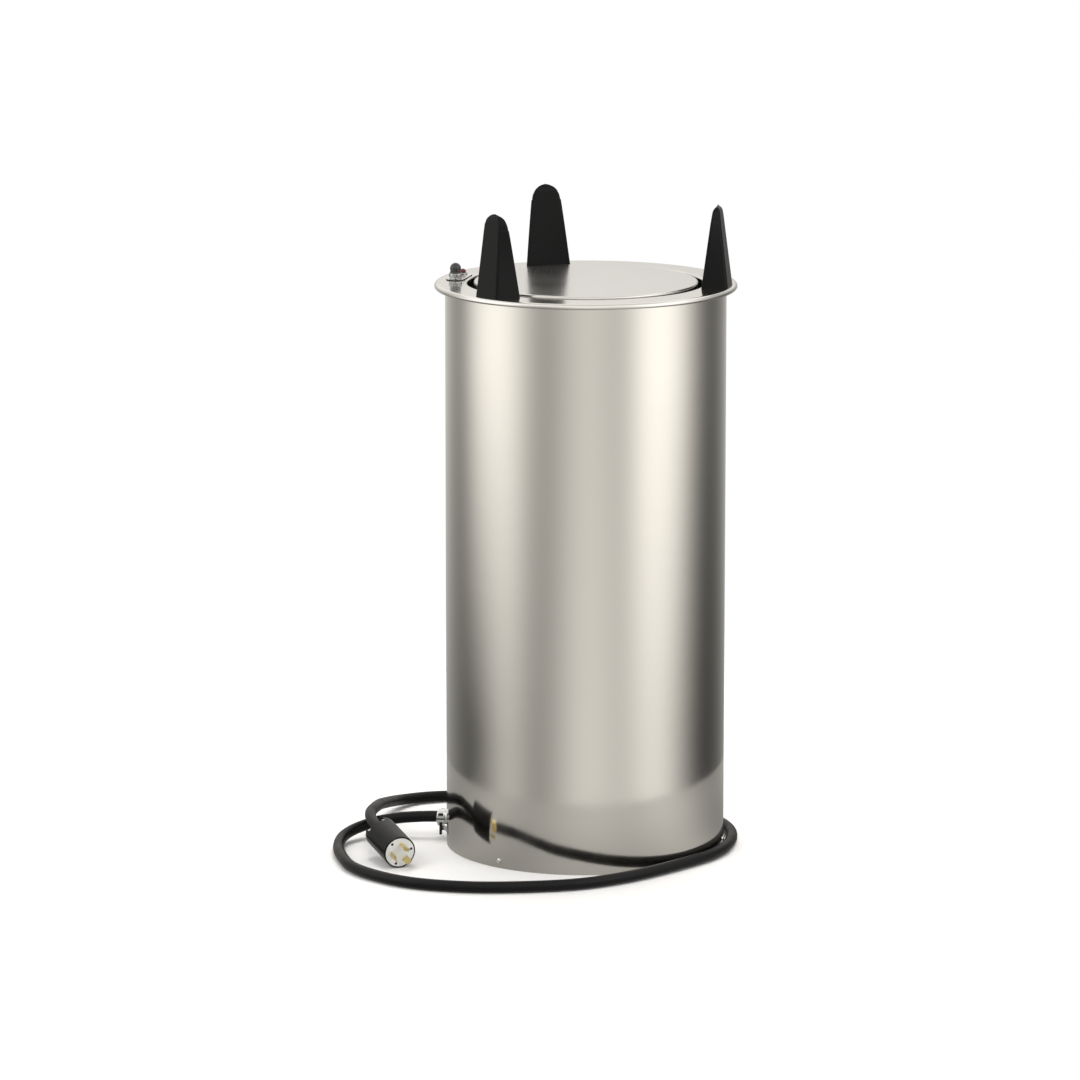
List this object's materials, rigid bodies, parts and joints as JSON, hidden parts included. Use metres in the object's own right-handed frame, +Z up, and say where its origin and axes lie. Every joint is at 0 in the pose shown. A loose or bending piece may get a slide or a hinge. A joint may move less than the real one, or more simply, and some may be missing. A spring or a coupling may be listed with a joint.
{
  "type": "drop-in heated plate dispenser",
  "caption": "Heated plate dispenser that drops into a counter: round insulated steel body, flange with guide posts, sprung self-levelling platform, switch, pilot lamp, cord and locking plug.",
  "frame": {"origin": "centre of the body's bottom edge, on the floor it stands on", "axes": "+Z up along the body; -Y towards the front; the cord leaves towards -X, where the switch and pilot lamp are too"},
  "size_m": [0.5061, 0.4785, 0.7705],
  "materials": {
    "body_steel": "semi-polished",
    "flange_steel": "polished",
    "platform_steel": "satin polished",
    "liner_steel": "satin",
    "pan_steel": "satin",
    "zinc_steel": "zinc plated",
    "screw_steel": "polished",
    "rod_steel": "ground",
    "spring_steel": "drawn wire",
    "bushing_nylon": "natural",
    "insulation": "glass fibre blanket",
    "post_plastic": "satin black",
    "plate_aluminium": "satin",
    "switch_case": "moulded",
    "switch_chrome": "polished",
    "boot_rubber": "satin",
    "lens_red": "clear red",
    "element_sheath": "oxidised",
    "thermostat_case": "moulded",
    "block_ceramic": "unglazed",
    "wire_cover": "sleeving",
    "relief_zinc": "zinc plated",
    "relief_screw_steel": "blackened",
    "cord_rubber": "matte",
    "plug_black": "moulded nylon",
    "plug_white": "moulded nylon",
    "clamp_grey": "moulded nylon",
    "blade_brass": "rolled"
  },
  "bodies": {
    "cabinet": {"base_pan": "pan_steel", "base_screws": "screw_steel", "body_shroud": "body_steel", "boot_ring": "switch_chrome", "element_clips": "zinc_steel", "guide_post_1": "post_plastic", "guide_post_2": "post_plastic", "guide_post_3": "post_plastic", "guide_rod_1": "rod_steel", "guide_rod_2": "rod_steel", "guide_rod_3": "rod_steel", "heater_leads": "wire_cover", "heating_element": "element_sheath", "insulation_1": "insulation", "insulation_2": "insulation", "insulation_3": "insulation", "lifting_springs_1": "spring_steel", "lifting_springs_2": "spring_steel", "lifting_springs_3": "spring_steel", "pilot_bezel": "switch_chrome", "pilot_lens": "lens_red", "plug_blades": "blade_brass", "plug_clamp": "clamp_grey", "plug_clamp_screws": "screw_steel", "plug_face": "plug_white", "plug_face_screws": "screw_steel", "plug_shell": "plug_black", "post_screws": "screw_steel", "power_cord": "cord_rubber", "relief_body": "relief_zinc", "relief_locknut": "relief_zinc", "relief_saddle": "relief_zinc", "relief_screws": "relief_screw_steel", "rod_feet": "zinc_steel", "spring_hanger_1": "zinc_steel", "spring_hanger_2": "zinc_steel", "spring_hanger_3": "zinc_steel", "stop_collars": "zinc_steel", "supply_lead": "wire_cover", "switch_body": "switch_case", "switch_nut": "switch_chrome", "switch_plate": "plate_aluminium", "switch_wires": "wire_cover", "terminal_block": "block_ceramic", "thermostat": "thermostat_case", "top_flange": "flange_steel", "well_liner": "liner_steel"},
    "carrier": {"platform": "platform_steel", "carrier_frame": "zinc_steel", "carrier_bolts": "zinc_steel", "carrier_arm_1": "zinc_steel", "carrier_arm_2": "zinc_steel", "carrier_arm_3": "zinc_steel", "arm_bushing_1": "bushing_nylon", "arm_bushing_2": "bushing_nylon", "arm_bushing_3": "bushing_nylon"},
    "toggle": {"switch_boot": "boot_rubber", "switch_lever": "switch_chrome"}
  },
  "joints": [
    {"name": "platform_slide", "type": "slide", "parent": "cabinet", "child": "carrier", "axis": [0, 0, -1], "range_m": [0, 0.385], "stiffness_N_per_m": 1200, "springref_m": -0.06, "deforming": ["lifting_springs_1", "lifting_springs_2", "lifting_springs_3"]},
    {"name": "switch_toggle", "type": "hinge", "parent": "cabinet", "child": "toggle", "pos_m": [-0.15296, 0.01814, 0.6825], "axis": [-0.9728, 0.2317, 0], "range_deg": [-12, 12]}
  ]
}
